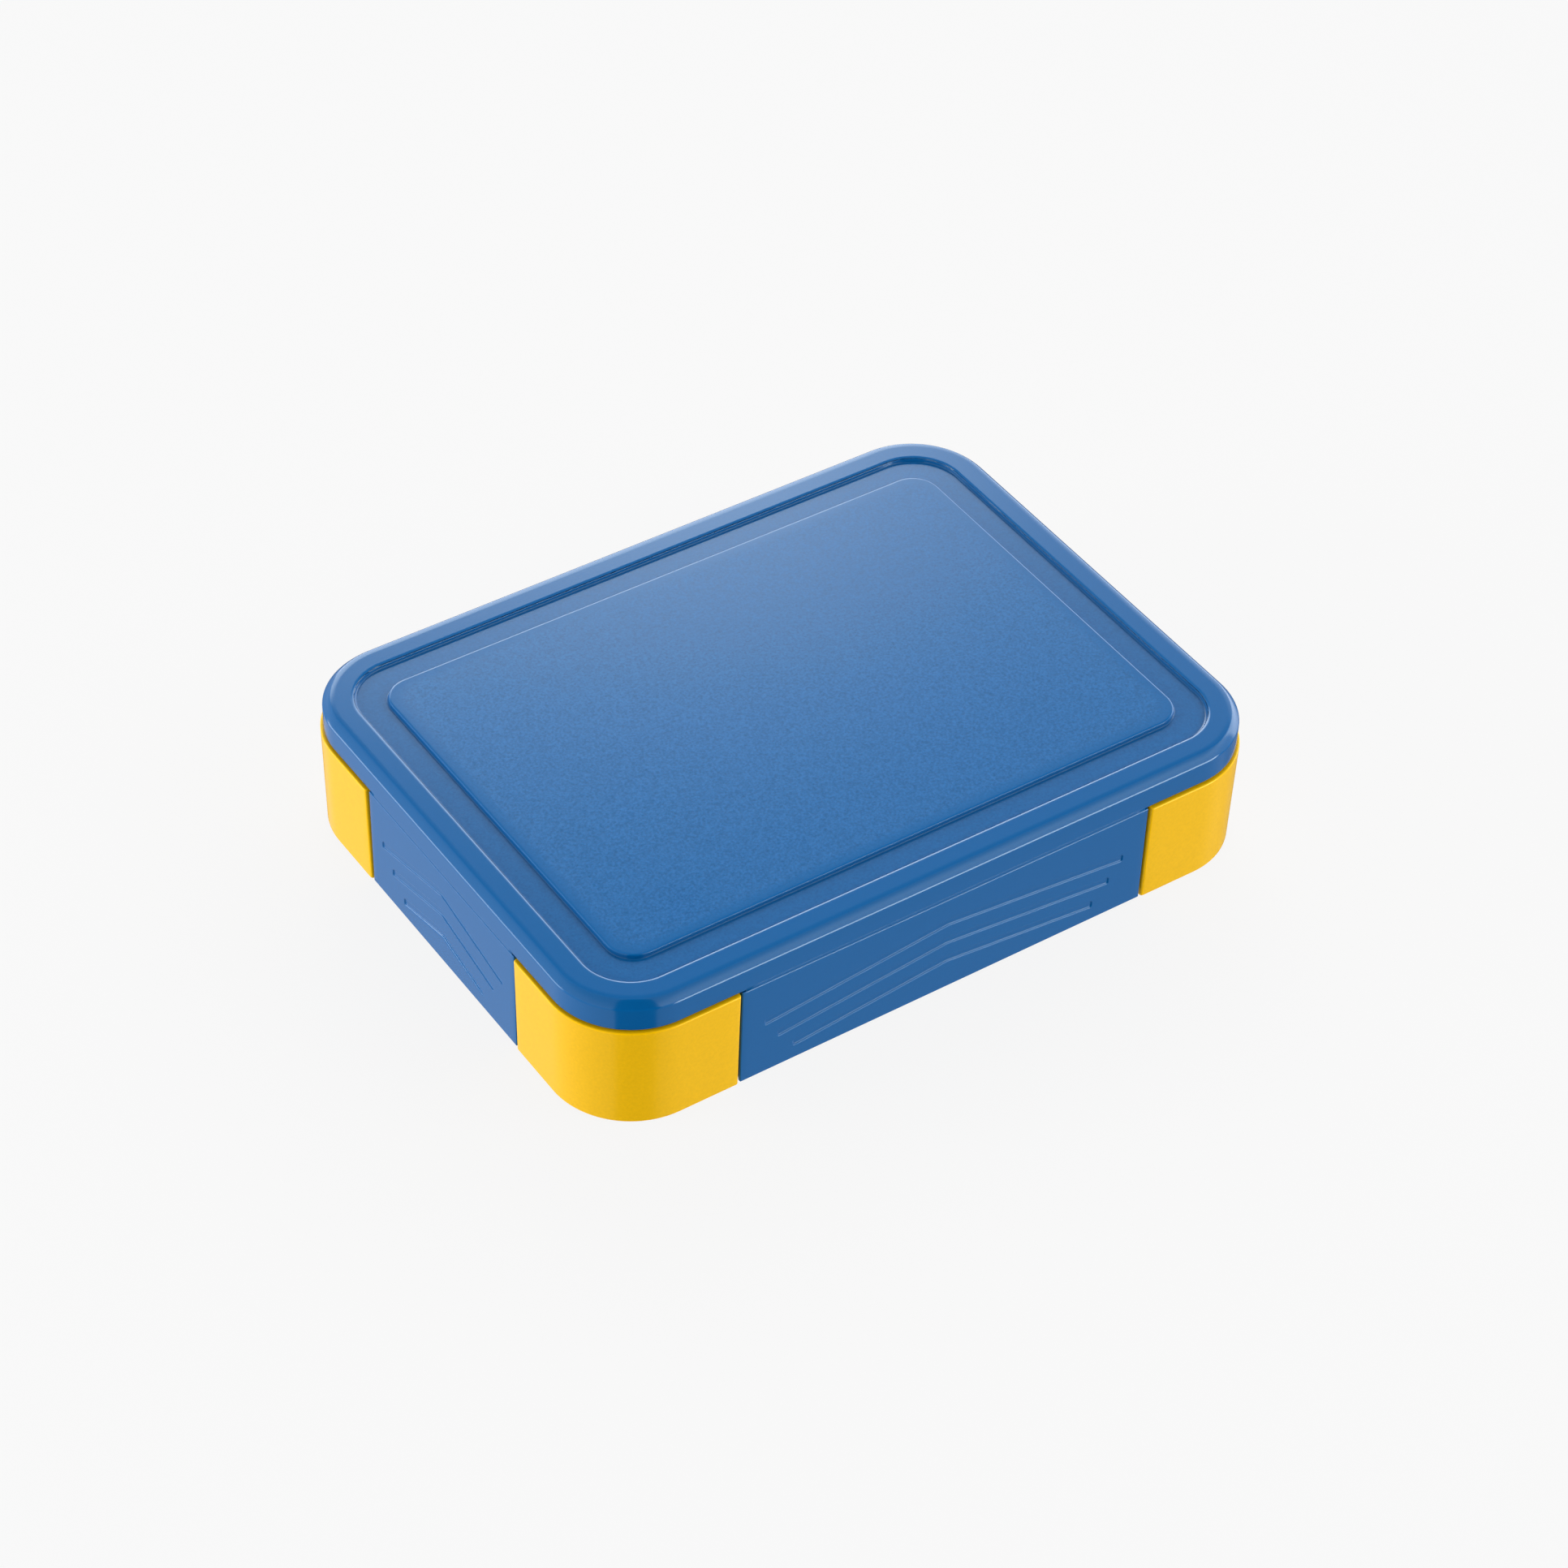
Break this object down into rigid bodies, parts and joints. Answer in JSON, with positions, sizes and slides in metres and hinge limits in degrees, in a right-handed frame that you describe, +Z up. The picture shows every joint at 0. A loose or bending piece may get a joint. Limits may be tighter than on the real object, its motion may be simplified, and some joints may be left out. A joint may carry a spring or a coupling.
{
  "type": "bento lunch box",
  "caption": "Rectangular lidded food box with rounded corners, a lift-out divided tray and a lid held down by locking side flaps on living hinges.",
  "frame": {"origin": "middle of the footprint, on the surface the box stands on", "axes": "+X along the long side, +Y to the back, +Z up through the lid"},
  "size_m": [0.252, 0.1874, 0.05],
  "materials": {
    "yellow_plastic": "fine satin grain",
    "blue_plastic": "satin, fine grain on the raised panel",
    "pale_plastic": "smooth satin",
    "seal": "soft matt silicone"
  },
  "bodies": {
    "base": {"base_box": "yellow_plastic"},
    "tray": {"inner_tray": "pale_plastic"},
    "lid": {"lid": "blue_plastic", "lid_gasket": "seal", "hinge_front": "blue_plastic", "hinge_back": "blue_plastic", "hinge_left": "blue_plastic", "hinge_right": "blue_plastic"},
    "flap_front": {"flap_front": "blue_plastic"},
    "flap_back": {"flap_back": "blue_plastic"},
    "flap_left": {"flap_left": "blue_plastic"},
    "flap_right": {"flap_right": "blue_plastic"}
  },
  "joints": [
    {"name": "tray_lift", "type": "slide", "parent": "base", "child": "tray", "axis": [0, 0, 1], "range_m": [0, 0.05]},
    {"name": "lid_lift", "type": "slide", "parent": "tray", "child": "lid", "axis": [0, 0, 1], "range_m": [0, 0.05]},
    {"name": "flap_front_swing", "type": "hinge", "parent": "lid", "child": "flap_front", "pos_m": [0, -0.0925, 0.0393], "axis": [-1, 0, 0], "range_deg": [0, 110]},
    {"name": "flap_back_swing", "type": "hinge", "parent": "lid", "child": "flap_back", "pos_m": [0, 0.0925, 0.0393], "axis": [1, 0, 0], "range_deg": [0, 110]},
    {"name": "flap_left_swing", "type": "hinge", "parent": "lid", "child": "flap_left", "pos_m": [-0.1248, 0, 0.0393], "axis": [0, 1, 0], "range_deg": [0, 110]},
    {"name": "flap_right_swing", "type": "hinge", "parent": "lid", "child": "flap_right", "pos_m": [0.1248, 0, 0.0393], "axis": [0, -1, 0], "range_deg": [0, 110]}
  ]
}
